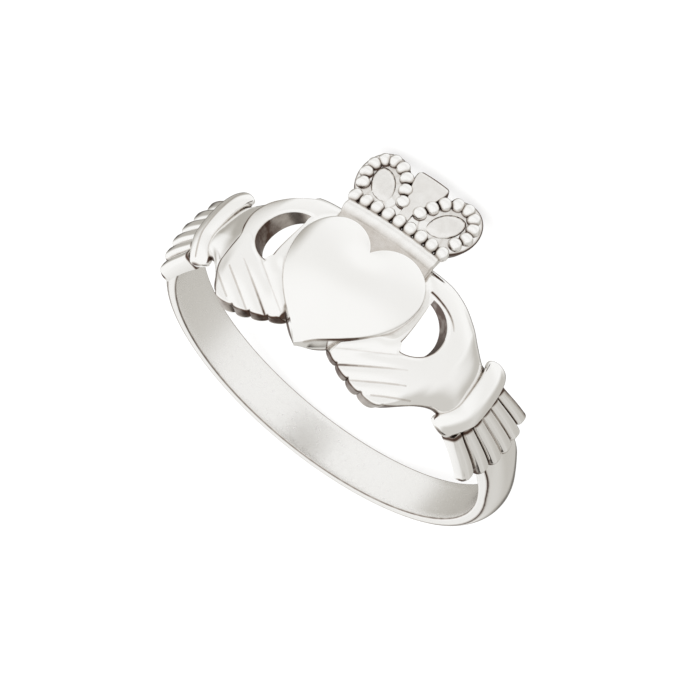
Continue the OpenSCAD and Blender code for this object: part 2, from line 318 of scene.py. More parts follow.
def band_profile(side, top):
    """Section of the band, as rise above the bore and place along the finger."""
    half = BAND_W / 2
    inner, outer = 0.1, 0.07
    rise = top - side
    radius = (half * half + rise * rise) / (2 * rise)
    reach = math.asin(half / radius)
    inside = [(0.0, s * (half - inner)) for s in np.linspace(-1, 1, 9)]
    flank = []
    for b in np.radians(np.linspace(0, 90, 6)[1:]):
        flank.append((inner * (1 - math.cos(b)), half - inner + inner * math.sin(b)))
    for r in np.linspace(inner, side - outer, 5)[1:]:
        flank.append((r, half))
    for lean in np.linspace(0, 1, 6)[1:-1] * (math.pi / 2 - reach):
        flank.append((side - outer + outer * math.sin(lean), half - outer + outer * math.cos(lean)))
    dome = []
    for t in np.linspace(1, -1, 28) * reach * (1 - outer / half):
        dome.append((top - radius + radius * math.cos(t), radius * math.sin(t)))
    return np.array(inside + flank + dome + [(r, -z) for r, z in flank[::-1]])


def band_fall(across):
    """How far the band has thinned from the cuffs on, from 0 to 1."""
    out = FRILL_START + FRILL_LEN
    return smooth(across, out + 0.3 * SHOULDER_LEN - 0.6, out + SHOULDER_LEN)


def band():
    """Band from hand to hand round the back, whose ends slope where the hands cover them."""
    # Degrees from the front, degrees of slope for each mm of rise, share of the length that slopes
    gap, slope, sloped = 35.0, 4.0, 0.025
    loops = []
    for share in np.linspace(0, 1, 421):
        degrees = mix(gap, 360 - gap, share)
        across = math.radians(min(degrees, 360 - degrees)) * ARC_R
        fall = band_fall(across)
        profile = band_profile(mix(SHOULDER_SIDE_T, BAND_SIDE_T, fall), mix(SHOULDER_T, BAND_T, fall))
        lean = slope * (1 - 2 * share) * max(0.0, 1 - min(share, 1 - share) / sloped)
        angle = np.radians(degrees - lean * profile[:, 0])
        radius = BORE_R + profile[:, 0]
        loops.append(np.stack([radius * np.sin(angle), -radius * np.cos(angle), profile[:, 1]], axis=-1))
    return closed_tube(loops)


# Heart


def heart_outline(count=150):
    """Outline of the heart, from its cleft down the right side to the point and back up the left."""
    lobe = np.array([HEART_W / 2 - HEART_LOBE_R, HEART_UP - HEART_LOBE_R])
    a = np.linspace(math.pi - math.acos(lobe[0] / HEART_LOBE_R), 0, count)[:, None]
    arc = lobe + HEART_LOBE_R * np.concatenate([np.cos(a), np.sin(a)], axis=1)
    side = lobe + [HEART_LOBE_R, 0]
    tip = np.array([0, -HEART_DOWN])
    b = np.array([side[0], mix(side[1], tip[1], 0.375)])
    c = np.array([side[0] * 0.65, mix(tip[1], side[1], 0.335)])
    t = np.linspace(0, 1, count)[1:, None]
    low = (1 - t) ** 3 * side + 3 * t * (1 - t) ** 2 * b + 3 * t * t * (1 - t) * c + t**3 * tip
    half, _ = evenly(np.concatenate([arc, low]), count + 1)
    return np.concatenate([half, half[-2:0:-1] * [-1, 1]])


HEART = heart_outline()


def inflated(flat, tris, fixed):
    """Height of a thin film blown up over a flat mesh and held at its edge, from 0 to 1."""
    start, end, weight = [], [], []
    area = np.zeros(len(flat))
    for k in range(3):
        i, j, o = tris[:, k], tris[:, (k + 1) % 3], tris[:, (k + 2) % 3]
        a, b = flat[i] - flat[o], flat[j] - flat[o]
        twice = np.abs(a[:, 0] * b[:, 1] - a[:, 1] * b[:, 0])
        start.append(i)
        end.append(j)
        weight.append((a * b).sum(1) / np.maximum(twice, 1e-12) / 2)
        area += np.bincount(o, twice / 6, len(flat))
    start, end, weight = (np.concatenate(part) for part in (start, end, weight))
    free = ~fixed
    n = len(flat)

    def pull(x):
        d = weight * (x[start] - x[end])
        return (np.bincount(start, d, n) - np.bincount(end, d, n)) * free

    scale = np.maximum(np.bincount(start, weight, n) + np.bincount(end, weight, n), 1e-9)
    # Conjugate gradients
    x = np.zeros(n)
    left = area * free
    step = left / scale
    way = step.copy()
    size = left @ step
    for _ in range(600):
        pulled = pull(way)
        t = size / (way @ pulled)
        x += t * way
        left = left - t * pulled
        step = left / scale * free
        new = left @ step
        if new < 1e-12 * size and new < 1e-14:
            break
        way = step + new / size * way
        size = new
    return x / x.max()


def softened(flat, tris, height, away, reach, width):
    """Height of a flat mesh, averaged over its surroundings where it is near a place."""
    a, b, c = (flat[tris[:, k]] for k in range(3))
    size = np.abs((b - a)[:, 0] * (c - a)[:, 1] - (b - a)[:, 1] * (c - a)[:, 0])
    area = np.bincount(tris.ravel(), np.repeat(size, 3), len(flat))
    near = np.flatnonzero(away < reach * 1.7)
    pick = np.flatnonzero(away < reach * 1.7 + 2 * width)
    x = flat[near, 0][:, None] - flat[pick, 0]
    y = flat[near, 1][:, None] - flat[pick, 1]
    weight = np.exp(-(x * x + y * y) / width**2) * area[pick]
    even = (weight @ height[pick]) / weight.sum(1)
    soft = height.copy()
    soft[near] = mix(height[near], even, np.exp(-((away[near] / reach) ** 2)))
    return soft


def heart_rim():
    """Edge between the heart's bevel and its dome, the bevel's share and the nearness of the point."""
    low = smooth(-HEART[:, 1], -1.5, HEART_DOWN)
    from_tip = np.hypot(HEART[:, 0], HEART[:, 1] + HEART_DOWN)
    bevel = mix(0.022, 0.068, low) * (1 - 0.9 * np.exp(-((from_tip / 0.6) ** 2)))
    rim = HEART_MID + (HEART - HEART_MID) * (1 - bevel)[:, None]
    return rim, bevel, np.exp(-((from_tip / 0.75) ** 2))


def dome_lift(edge, shares):
    """Lift of the heart's dome, from 0 to 1, along copies of its edge shrunk to each share."""
    n = len(edge)
    flat = np.concatenate([edge * share for share in shares] + [np.zeros((1, 2))])
    j = np.arange(n) + (len(shares) - 1) * n
    fan = np.stack([j, np.roll(j, -1), np.full(n, len(flat) - 1)], axis=-1)
    tris = np.concatenate([halves(loop_faces(len(shares), n)), fan])
    # The film stays low around the cleft
    from_cleft = np.linalg.norm(flat + HEART_MID - HEART[0], axis=1)
    lift = inflated(flat, tris, np.arange(len(flat)) < n) * from_cleft / (from_cleft + 0.12)
    for width in (0.3, 0.2):
        lift = softened(flat, tris, lift, from_cleft, 0.8, width)
    return (lift / lift.max())[:-1].reshape(len(shares), n)


def heart():
    """Heart with a wall, a bevel and a blown-up dome."""
    out = HEART - HEART_MID
    rim, bevel, tip = heart_rim()
    loops = []

    def add(shape, rise):
        rise = np.broadcast_to(rise, (len(HEART),))
        loops.append(np.stack([shape[:, 0], shape[:, 1], rise - HEAD_FALL * shape[:, 1]], axis=-1))

    # The shell is cut away beneath the point
    foot = HOLLOW_RISE + 0.01 + 0.6 * tip
    for share in (0.3, 0.7, 0.95, 1.0):
        add(HEART_MID + out * share, foot)
    side = np.maximum(HEART_EDGE - 0.05, foot + 0.04)
    for t in (0.25, 0.5, 0.75, 1.0):
        add(HEART, mix(foot, side, t))
    for t in (0.04, 0.1, 0.18, 0.3, 0.45, 0.6, 0.74, 0.86, 0.95):
        curved = t + 0.12 * t * (1 - t)
        add(HEART_MID + out * (1 - bevel * t)[:, None], mix(side, HEART_RIM - 0.02, curved))
    edge = rim - HEART_MID
    shares = 1 - np.linspace(0, 1, 78)[:-1] ** 1.2
    for share, lift in zip(shares, dome_lift(edge, shares)):
        ease = 0.03 * math.exp(-((1 - share) / 0.01))
        add(HEART_MID + edge * share, HEART_RIM + HEART_DOME * lift - ease)
    return head_body(loops)


# Hands


def window_outline():
    """Crescent window in its own flat frame, its far edge first, and the turn of that frame."""
    middle = HEART_W / 2 + CRESCENT_LEDGE + CRESCENT_R / 2
    inner = -CRESCENT_R / 2 - 0.06
    up = (HEART_UP - HEART_LOBE_R) * 0.4
    a = np.radians(np.linspace(-80, 88, WINDOW_FAR))
    far = np.stack([inner + CRESCENT_R * np.cos(a), up + CRESCENT_R * np.sin(a)], axis=-1)
    a = np.radians(np.linspace(66, -66, 30))
    near = np.stack([inner + 0.08 * np.cos(a), up + CRESCENT_R * 0.8 * np.sin(a)], axis=-1)
    return np.concatenate([far, near]), middle / ARC_R


def window_on_head():
    """The window's outline where it meets the hand, as across and up."""
    outline, turn = window_outline()
    r = BORE_R + 1.4
    across = (turn + np.arcsin(np.clip(outline[:, 0] / r, -1, 1))) * ARC_R
    return np.stack([across, outline[:, 1]], axis=-1)


# Where a hand starts beneath the heart, where its fingertips end and how far out it shows
HAND_START = 1.2
TIPS_END = 4.95
HAND_SHOWS = 8.0
# Upper edge, notches between the fingertips, and lower edge as across and up; crest as across and rise
HAND_HIGH = [
    (1.2, 3.2), (2.6, 3.28), (4.2, 3.24), (5.2, 3.0), (6.2, 2.55),
    (7.0, 2.1), (7.8, 1.78), (8.9, 1.72),
]
NOTCHES = [(1.2, -3.12), (2.03, -3.46), (2.88, -3.74), (3.73, -3.88), (4.82, -3.74)]
HAND_LOW = NOTCHES + [(5.2, -3.45), (5.7, -2.95), (6.4, -2.3), (7.2, -1.8), (7.8, -1.7), (8.9, -1.66)]
HAND_CREST = [
    (1.2, 1.1), (2.5, 1.28), (3.5, 1.4), (4.5, 1.54), (5.4, 1.6), (6.2, 1.6),
    (7.0, 1.5), (7.7, 1.34), (8.3, 1.1), (8.9, 0.85),
]
# Lines between the fingers: way along them, then for each how far aside it lies, where it starts
# and fades, and how dark its painted shade is drawn at its start, middle and end
FINGER_ALONG = np.array([0.811, 0.585])
FINGER_ASIDE = np.array([0.585, -0.811])
FINGER_LINES = [
    (3.42, -0.6, 4.3, (0.3, 0.33, 0.22)),
    (4.12, -0.4, 2.85, (0.8, 0.5, 0.3)),
    (4.84, 0.15, 2.8, (0.42, 0.45, 0.4)),
    (5.46, 1.2, 3.2, (0.42, 0.45, 0.4)),
]
# Crease between thumb, palm and wrist, as up and across
CREASE = [
    (-3.9, 4.8), (-3.3, 5.3), (-2.4, 6.0), (-1.5, 5.95), (-0.65, 5.95), (0.0, 6.25),
    (0.7, 6.42), (1.3, 6.3), (1.85, 6.0), (2.4, 5.3), (2.9, 4.4),
]


def hand_low(across):
    """Lower edge of a hand, with a round fingertip between neighbouring notches."""
    low = curve(HAND_LOW, across)
    for (start, _), (end, _) in zip(NOTCHES[:-1], NOTCHES[1:]):
        x = np.clip((across - (start + end) / 2) / ((end - start) / 2), -1, 1)
        low = low - 0.17 * np.sqrt(1 - x * x)
    return low


def hand_top(across, up, low, high, crease_depth, crease_width):
    """Rise of a hand's back at places given by across and up."""
    s = 2 * (up - low) / (high - low) - 1
    fall = np.where(s < 0, mix(0.12, 0.45, smooth(across, 4.6, 6.2)), 0.45)
    top = curve(HAND_CREST, across) - fall * np.abs(s) ** 3 - HEAD_FALL * up
    # Fingers: nearly flat, with a fine valley between neighbours that fades towards the palm
    along = across * FINGER_ALONG[0] + up * FINGER_ALONG[1]
    aside = across * FINGER_ASIDE[0] + up * FINGER_ASIDE[1]
    for line, _, end, _ in FINGER_LINES:
        off = np.abs(aside - line)
        fade = 1 - smooth(along, end - 2.4, end + 0.1)
        top = top - fade * (0.05 * np.exp(-((off / 0.14) ** 2)) + 0.06 * np.exp(-((off / 0.32) ** 2)))
    edge = curve(CREASE, up)
    step = smooth((across - edge) / crease_width, -0.6, 0.6) * (1 - smooth(across, edge + 0.5, edge + 2.0))
    return top - crease_depth * step * smooth(up, low + 0.05, low + 0.5)


def rounded(gap, reach, drop):
    """How far a surface has dropped at a gap from its rounded edge."""
    x = np.clip(1 - gap / reach, 0, 1)
    return drop * (1 - np.sqrt(1 - 0.98 * x * x))


def hand(name, crease_depth, crease_width):
    """Hand with its wrist, its thumb arm and the tips of its fingers, and the window cut through it."""
    # Columns lie closer together at the fingers, and rows near both edges
    palm, covered = 6.4, 9.0
    across = np.concatenate([np.arange(HAND_START, palm, 0.03), np.arange(palm, covered, 0.045)])
    w = np.linspace(0, 1, 180)
    w = w - 0.11 * np.sin(2 * np.pi * w) / np.pi
    low, high = hand_low(across), curve(HAND_HIGH, across)
    u = np.broadcast_to(across[:, None], (len(across), len(w)))
    v = mix(low[:, None], high[:, None], w)
    flat = np.stack([u, v], axis=-1)
    top = hand_top(u, v, low[:, None], high[:, None], crease_depth, crease_width)
    # Edges: rounded over, more tightly at the fingertips
    to_wrist = smooth(u, 4.7, 6.0)
    gap_low = away_from(flat, np.stack([across, low], axis=-1))
    gap_high = away_from(flat, np.stack([across, high], axis=-1))
    top = top - rounded(gap_low, mix(0.15, 0.42, to_wrist), mix(0.11, 0.26, to_wrist))
    top = top - rounded(gap_high, 0.5, 0.36)
    # A low bevel round the window, and a small drop next to the heart
    near = away_from(flat, window_on_head()[:WINDOW_FAR])
    top = top - 0.06 * (1 - smooth(near, 0.0, 0.22))
    heart_gap = away_from(flat, HEART, closed=True)
    beside = smooth(v, -1.6, -0.6)
    top = top - 0.2 * np.exp(-((heart_gap / 0.3) ** 2)) * beside
    # Lower down, a fillet up to the heart's rim instead, save where the first finger starts
    started = smooth(u, HAND_START, 1.6)
    fillet = HEART_RIM - 0.07 - HEAD_FALL * v
    top = mix(top, fillet, np.exp(-((heart_gap / 0.42) ** 2)) * (1 - beside) * started)
    top = top - 0.12 * (1 - started)
    foot = HOLLOW_RISE - HEAD_FALL * v
    wall = np.array([0.0, 0.2, 0.4, 0.6, 0.8, 0.92])
    loops = []
    for i, x in enumerate(across):
        wall_low = [(x, v[i, 0], mix(foot[i, 0], top[i, 0], t)) for t in wall]
        wall_high = [(x, v[i, -1], mix(foot[i, -1], top[i, -1], t)) for t in wall[::-1]]
        upper = np.stack([u[i], v[i], top[i]], axis=-1)
        back = np.linspace(high[i], low[i], 26)[1:-1]
        under = [(x, y, HOLLOW_RISE - HEAD_FALL * y) for y in back]
        loops.append(np.concatenate([wall_low, upper, wall_high, under]))
    piece(name, [on_side(name, head_body(loops))])
    cut_window(pieces[-1])


def cut_window(obj):
    """Cuts the crescent window through a hand."""
    outline, turn = window_outline()
    loops = []
    for r in (BORE_R - 0.5, BORE_R + 3):
        flat = np.stack([outline[:, 0], np.full(len(outline), -r), outline[:, 1]], axis=-1)
        loops.append(turned(flat, turn))
    cutter = mesh_object("window_cutter", [on_side(obj.name, closed_tube(loops))])
    cut = obj.modifiers.new("window", "BOOLEAN")
    cut.operation = "DIFFERENCE"
    cut.solver = "MANIFOLD"
    cut.object = cutter
    graph = bpy.context.evaluated_depsgraph_get()
    cut_mesh = bpy.data.meshes.new_from_object(obj.evaluated_get(graph))
    obj.modifiers.clear()
    old = obj.data
    obj.data = cut_mesh
    cut_mesh.name = obj.name
    bpy.data.meshes.remove(old)
    bpy.data.objects.remove(cutter)
    show_folds(cut_mesh, SMOOTH_FOLD)


# Cuffs


def roll():
    """Rounded roll over an arch, lying a little nearer the heart at its lower end."""
    thick, low, cap = 0.4, 0.35, 0.22
    a = np.radians(np.linspace(-80, 80, 600))
    rise = mix(low, ROLL_RISE - thick, np.cos(a) ** 0.7)
    line, along = evenly(np.stack([(ROLL_LEN / 2 - 0.26) * np.sin(a), rise], axis=-1), 140)
    way = np.gradient(line, axis=0)
    way /= np.linalg.norm(way, axis=1, keepdims=True)
    b = np.linspace(0, 2 * np.pi, 60, endpoint=False)
    loops = []
    for place, (up, rise), (ahead, climb) in zip(along, line, way):
        end = min(place, along[-1] - place) / cap
        end = math.sqrt(max(0.25, 1 - max(0.0, 1 - end) ** 2))
        wide = np.cos(b) * ROLL_W / 2 * mix(0.7, 1.0, end)
        deep = np.sin(b) * thick * end
        across = ROLL_ACROSS - 0.5 * smooth(-up, 0.6, 2.1) + wide
        loops.append(np.stack([across, up - deep * climb, rise + deep * ahead], axis=-1))
    return head_body(loops)


def frill_end(aside):
    """Length of the frill at a share of its width from its middle."""
    return FRILL_LEN - 2 * aside * aside + FRILL_SLANT * aside


def frill():
    """Pleats over a flat base, each loop one row across them."""
    # Share of the length, then the height of the crests or of the folds
    crests = [(0.0, 1.0), (0.3, 0.95), (0.85, 1.0), (0.94, 0.985), (1.0, 0.84)]
    folds = [(0.0, 0.86), (0.3, 0.76), (0.85, 0.78), (0.94, 0.76), (1.0, 0.66)]
    loops = []
    for row in FRILL_ROWS:
        width = mix(FRILL_ROOT_W, FRILL_END_W, row)
        high, low = curve(crests, row), curve(folds, row)
        tops = []
        for i in range(PLEATS):
            middle = (i + 0.5) / PLEATS - 0.5
            droop = 1.2 * middle * middle * (0.5 + row)
            for k in range(PLEAT_STEPS + 1):
                x = 2 * k / PLEAT_STEPS - 1
                short = 0.16 * smooth(row, 0.8, 1.0) * (1 - math.sqrt(1 - 0.99 * x * x))
                pinch = 0.02 if 0 < k < PLEAT_STEPS else 0.012
                place = mix(pinch, width / PLEATS - pinch, k / PLEAT_STEPS)
                place = FRILL_SHIFT + width * (i / PLEATS - 0.5) + place
                rise = PLEAT_RISE * mix(low, high, (1 - abs(x) ** 3.2) ** 0.5) - droop
                tops.append((FRILL_START + (frill_end(middle) - short) * row, place, rise))
        loops.append(with_base(np.array(tops), CUFF_UNDER, fall=0.0))
    return frill_body(np.array(loops))


def frill_body(loops):
    """Body of a frill, whose ends are ladders from the tops to the base."""
    m, size, _ = loops.shape
    j = np.arange(size // 2 - 1)
    first = np.stack([j + 1, j, size - 1 - j, size - 2 - j], axis=-1)
    last = first[:, [1, 0, 3, 2]] + (m - 1) * size
    quads = np.concatenate([loop_faces(m, size), first, last])
    return turned_out(wrap(loops).reshape(-1, 3), quads, np.zeros((0, 3), int))


# Crown: plates that overlap have their feet at slightly different rises


def crown_top(up):
    return CROWN_RISE - CROWN_FALL * (up - BAR_HIGH)


def on_crown(flat, rise):
    """Flat points as points of the head, at a rise above the crown's plate."""
    return np.stack([flat[:, 0], flat[:, 1], crown_top(flat[:, 1]) + rise], axis=-1)


def strip(half_w, low, high, rise, arch):
    """Plate along the arc between the bar and the lobes, arched across."""
    x = np.linspace(-1, 1, 40)
    up = mix(low, high, (x + 1) / 2)
    top = rise - arch * (1 - (1 - np.abs(x) ** 2.2) ** 0.5) - CROWN_FALL * (up - BAR_UP)
    loops = []
    for across in np.linspace(-half_w, half_w, 90):
        line = np.stack([np.full(len(x), across), up, top], axis=-1)
        loops.append(with_base(line, HOLLOW_RISE + 0.03))
    return head_body(loops)


def neck_and_bar():
    """Plate above the heart's cleft, which rises in a soft hollow to the rounded bar."""
    bend = BAR_UP - 0.5
    up = np.concatenate([np.linspace(HEART_UP - 2, bend, 14), np.linspace(bend, BAR_HIGH, 46)[1:]])
    x = (up - BAR_UP - 0.2) / 0.44
    rise = CROWN_RISE + 0.03 * smooth(up, BAR_UP - 0.6, BAR_UP - 0.1) + 0.27 * np.maximum(0, 1 - x * x) ** 1.1
    rise = rise - HEAD_FALL * (up - BAR_UP)
    loops = []
    for share in np.linspace(-1, 1, 120):
        end = 0.22 * max(0.0, (abs(share) - 0.93) / 0.07) ** 2.5
        line = np.stack([np.full(len(up), share * BAR_W / 2), up, rise - end], axis=-1)
        loops.append(with_base(line, HOLLOW_RISE + 0.02))
    return head_body(loops)


def bead_places():
    """Places of the beads round a lobe, as across, up and the way they point from its middle."""
    places = []
    for a in np.radians(np.linspace(200, -28, LOBE_BEADS)):
        up = 1.2 * math.sin(a)
        across = 1.14 * math.cos(a) + 0.22 * up - 0.26 * float(smooth(math.degrees(a), 165, 200))
        places.append((LOBE_MID[0] - LEAF_INWARD + across, LOBE_MID[1] + up, math.atan2(up, across)))
    return places


def bead(across, up, half_sizes, way=0.0):
    """Bead whose middle lies on the crown's plate, with its half sizes there and its turn."""
    a = np.linspace(0, 2 * np.pi, 28, endpoint=False)
    c, s = math.cos(way), math.sin(way)
    loops = []
    for b in np.radians(np.linspace(3, 150, 15)):
        x = half_sizes[0] * math.sin(b) * np.cos(a)
        y = half_sizes[1] * math.sin(b) * np.sin(a)
        out = np.full(len(a), -BEAD_R * math.cos(b))
        loops.append(np.stack([c * x - s * y, out, s * x + c * y], axis=-1))
    middle = np.array([0, -(BORE_R + crown_top(up)), up])
    return closed_tube(turned(middle + np.array(loops), across / ARC_R))


def lobe_plate():
    """Plate beneath a lobe's beads, with its edge rounded over."""
    a = np.linspace(0, 2 * np.pi, 240, endpoint=False)
    up = LOBE_HALF[1] * np.sin(a)
    outline = np.stack([LOBE_HALF[0] * np.cos(a) + LOBE_LEAN * up, up], axis=-1)
    loops = []
    for share in (0.3, 0.9, 0.965):
        flat = LOBE_MID + outline * share
        foot = HOLLOW_RISE + 0.01 - HEAD_FALL * flat[:, 1:]
        loops.append(np.concatenate([flat, foot], axis=-1))
    # Share of the outline and drop below the plate's top
    edge = [(0.985, 0.36), (0.99, 0.24), (0.985, 0.14), (0.96, 0.06), (0.92, 0.02), (0.85, 0.0), (0.4, 0.0)]
    for share, drop in edge:
        loops.append(on_crown(LOBE_MID + outline * share, -drop))
    return head_body(loops)


def leaf():
    """Low pointed leaf, leaning outward within its ring of beads."""
    a = np.linspace(0, 2 * np.pi, 120, endpoint=False)
    long = 1.04 * np.cos(a)
    wide = 0.62 * np.sin(a) * np.abs(np.sin(a)) ** 0.2
    shape = np.stack([0.66 * long + 0.75 * wide, 0.75 * long - 0.66 * wide], axis=-1)
    middle = LOBE_MID - [LEAF_INWARD, 0.13]
    loops = [on_crown(middle + shape * share, -0.2) for share in (0.3, 1.0)]
    for t in np.linspace(0, 1, 26)[:-1]:
        loops.append(on_crown(middle + shape * (1 - t) ** 0.8, 0.17 * (1 - (1 - t) ** 4) - 0.02))
    return head_body(loops)


def petal():
    """Smooth fan which fills the gap between the lobes."""
    # Share of the height, then half the width
    shape = [(0.0, 0.3), (0.2, 0.34), (0.5, 0.66), (0.74, 0.9), (0.92, 0.96), (1.0, 0.86)]
    x = np.linspace(-1, 1, PETAL_COLUMNS)
    loops = []
    for t in np.linspace(0, 1, PETAL_ROWS):
        up = mix(ROW_UP + 0.15, CROWN_UP - 0.14, t)
        ease = 0.12 * smooth(t, 0.93, 1.0) + 0.12 * np.clip((np.abs(x) - 0.86) / 0.14, 0, 1) ** 2
        top = crown_top(up) + 0.13 - 0.05 * x * x - ease
        line = np.stack([x * curve(shape, t), np.full(len(x), up), top], axis=-1)
        loops.append(with_base(line, HOLLOW_RISE + 0.02))
    return head_body(loops)


# Pieces of the ring

piece("band", [band()], fold=50)
piece("heart", [heart()], fold=60)
hand("hand_right", crease_depth=0.04, crease_width=0.7)
hand("hand_left", crease_depth=0.3, crease_width=0.15)
pair("roll", roll())
pair("frill", frill(), fold=80)
piece("crown_bar", [neck_and_bar()])
under_row = strip(BAR_W / 2 + 0.05, BAR_HIGH - 0.1, ROW_UP + 0.3, CROWN_RISE + 0.06, arch=0.05)
between_lobes = strip(0.95, ROW_UP + 0.2, ROW_UP + 0.85, CROWN_RISE + 0.04, arch=0.0)
piece("crown_plate", [under_row, between_lobes])
row_places = np.linspace(-1, 1, ROW_BEADS) * (BAR_W - BEAD_R) / 2
piece("crown_row", [bead(across, ROW_UP - 0.12, ROW_BEAD_HALF) for across in row_places])
lobe_beads = [bead(across, up, LOBE_BEAD_HALF, way) for across, up, way in bead_places()]
piece("crown_beads", both_sides(lobe_beads))
piece("crown_lobes", both_sides([lobe_plate()]))
piece("crown_leaves", both_sides([leaf()]))
piece("crown_petal", [petal()])

# Painted shade: how dark each place is painted, for being closed in or along a drawn fine line, kept with the
# mesh


def values(items, name, width=1, kind=float):
    """One property of all of a mesh's points, edges, corners or faces."""
    flat = np.empty(len(items) * width, kind)
    items.foreach_get(name, flat)
    return flat.reshape(-1, width) if width > 1 else flat


def head_places(mesh):
    """Places of a mesh's points on the head, as across, up and rise."""
    p = (values(mesh.vertices, "co", 3) - CENTRE) * 1000
    x, y, z = p @ WORN_X, p @ WORN_Y, p @ WORN_Z
    return np.stack([np.arctan2(x, -y) * ARC_R, z, np.hypot(x, y) - BORE_R], axis=-1)


def on_right(name, places):
    """Flat places of a piece, mirrored to the right if it is a left one."""
    return places[:, :2] * [-1 if is_left(name) else 1, 1]


def hand_lines():
    """Lines of painted shade that both hands have: between the fingers, along the fingertips, the thumb arm
    and the wrist, and round the window.
    """
    lines = []
    for aside, start, end, strengths in FINGER_LINES:
        along = np.linspace(start, end, 12)[:, None]
        lines.append((along * FINGER_ALONG + aside * FINGER_ASIDE, 0.075, strengths))
    tips = np.linspace(1.25, TIPS_END, 90)
    thumb = np.linspace(1.4, HAND_SHOWS, 70)
    wrist = np.linspace(TIPS_END, HAND_SHOWS, 50)
    window = window_on_head()
    return lines + [
        (np.stack([tips, hand_low(tips) + 0.02], axis=-1), 0.045, (0.85, 0.8, 0.6)),
        (np.stack([thumb, curve(HAND_HIGH, thumb)], axis=-1), 0.085, (0.9, 0.9, 0.8)),
        (np.stack([wrist, hand_low(wrist)], axis=-1), 0.065, (0.8, 0.8, 0.8)),
        (window[:34], 0.05, (0.9, 0.85, 0.5)),
        (window[WINDOW_FAR:], 0.05, (0.5, 0.6, 0.8)),
    ]


def fine_lines():
    """Lines of painted shade drawn on the pieces, at creases, bends, folds and outlines: flat points, half
    width, and strength at the start, middle and end.
    """
    both_hands = hand_lines()
    thumb_bend = [(3.42, 2.18), (4.08, 2.06), (4.62, 1.9), (5.08, 1.62), (5.33, 1.33)]
    crease = np.array(CREASE[:-1])[:, ::-1]
    # Part of the heart's rim, from near its point up the right side, drawn as a fine dark line that is a
    # painted reflection
    rim = heart_rim()[0][145:91:-1]
    folds = []
    # Painted shade in the folds between the pleats, widest along the frill's upper edge
    for i in range(1, PLEATS + 1):
        aside = i / PLEATS - 0.5
        start = (FRILL_START, FRILL_SHIFT + FRILL_ROOT_W * aside)
        end = (FRILL_START + frill_end(aside), FRILL_SHIFT + FRILL_END_W * aside)
        folds.append((np.array([start, end]), 0.24 if i == PLEATS else 0.036, (0.8, 0.85, 1.0)))
    # Painted shade on the frill beside the roll, and along the left roll's ridge
    up = np.linspace(-2.2, 2.2, 40)
    beside_roll = ROLL_ACROSS + ROLL_W / 2 + 0.08 - 0.4 * smooth(-up, 0.6, 2.1)
    folds.append((np.stack([beside_roll, up], axis=-1), 0.15, (0.95, 0.85, 0.95)))
    ridge = np.stack([beside_roll - 1.0, up], axis=-1)[2:-2]
    return {
        "hand_right": both_hands + [(eased(thumb_bend), 0.07, (0.9, 0.75, 0.25))],
        "hand_left": both_hands + [(eased(crease) - [0.1, 0], 0.08, (0.95, 0.8, 0.4))],
        "heart": [(rim, 0.05, (0.4, 1.0, 0.1))],
        "roll_left": [(ridge, 0.07, (0.6, 0.5, 0.45))],
        "frill_right": folds,
        "frill_left": folds,
    }


def drawn(name, places, lines):
    """How dark the painted shade of the drawn lines and of the darker painted parts of a piece makes each of
    its points.
    """
    across, up, rise = places.T
    dark = np.zeros(len(places))
    for line, half_w, strengths in lines:
        far, share = share_along(on_right(name, places), line)
        dark = np.maximum(dark, np.interp(share, [0, 0.5, 1], strengths) * np.exp(-((far / half_w) ** 2)))
    if name.startswith("hand"):
        # None on the underside
        dark = dark * (rise > HOLLOW_RISE + 0.05 - HEAD_FALL * up)
    # Painted shade: fine dark lines along the band's outer and inner edges
    if name == "band":
        side = mix(SHOULDER_SIDE_T, BAND_SIDE_T, band_fall(np.abs(across)))
        far_up = np.abs(up) - BAND_W / 2 + 0.02
        outer = np.hypot(far_up, rise - side + 0.02) * 0.8
        inner = np.hypot(far_up, rise - 0.02)
        dark = 0.85 * np.exp(-((outer / 0.06) ** 2)) + 0.7 * np.exp(-((inner / 0.06) ** 2))
    # Painted shade: greyer on the plate below the bar, lighter over the bar's crest
    if name == "crown_bar":
        dark = 0.45 - 0.21 * smooth(up, BAR_UP - 0.3, BAR_UP + 0.1)
    # Painted shade: an even light grey all over
    if name in ("crown_leaves", "crown_petal"):
        dark = np.full(len(places), 0.27)
    if name == "heart":
        # Painted shade near the point, by rows: its lower edge, and on the left its upper edge
        n = len(HEART)
        low, high = slice(2 * n, 5 * n), slice(6 * n, 12 * n)
        dark[low] = np.maximum(dark[low], 0.75 * smooth(-up[low], 1.6, 2.6))
        left = 0.75 * smooth(-up[high], 2.0, 2.8) * (across[high] < 0)
        dark[high] = np.maximum(dark[high], left)
    if name == "crown_petal":
        # Painted shade on the outer end and both edges of its top
        tops = dark[:-2].reshape(PETAL_ROWS, -1)[:, :PETAL_COLUMNS]
        tops[-2:] = 0.7
        tops[:, :2] = 0.55
        tops[:, -2:] = 0.55
    # Painted shade at both ends of the roll
    if name.startswith("roll"):
        dark = np.maximum(dark, 0.75 * smooth(np.abs(up), ROLL_LEN / 2 - 0.14, ROLL_LEN / 2 - 0.04))
    if name.startswith("frill"):
        # Painted shade on the last rows of the tops, at the pleats' ends
        tops = dark.reshape(len(FRILL_ROWS), 2, -1)[:, 0]
        strengths = np.array([0.25, 0.5, 0.8, 0.9, 0.95, 0.85, 0.5])
        tops[-7:] = np.maximum(tops[-7:], strengths[:, None])
    return dark


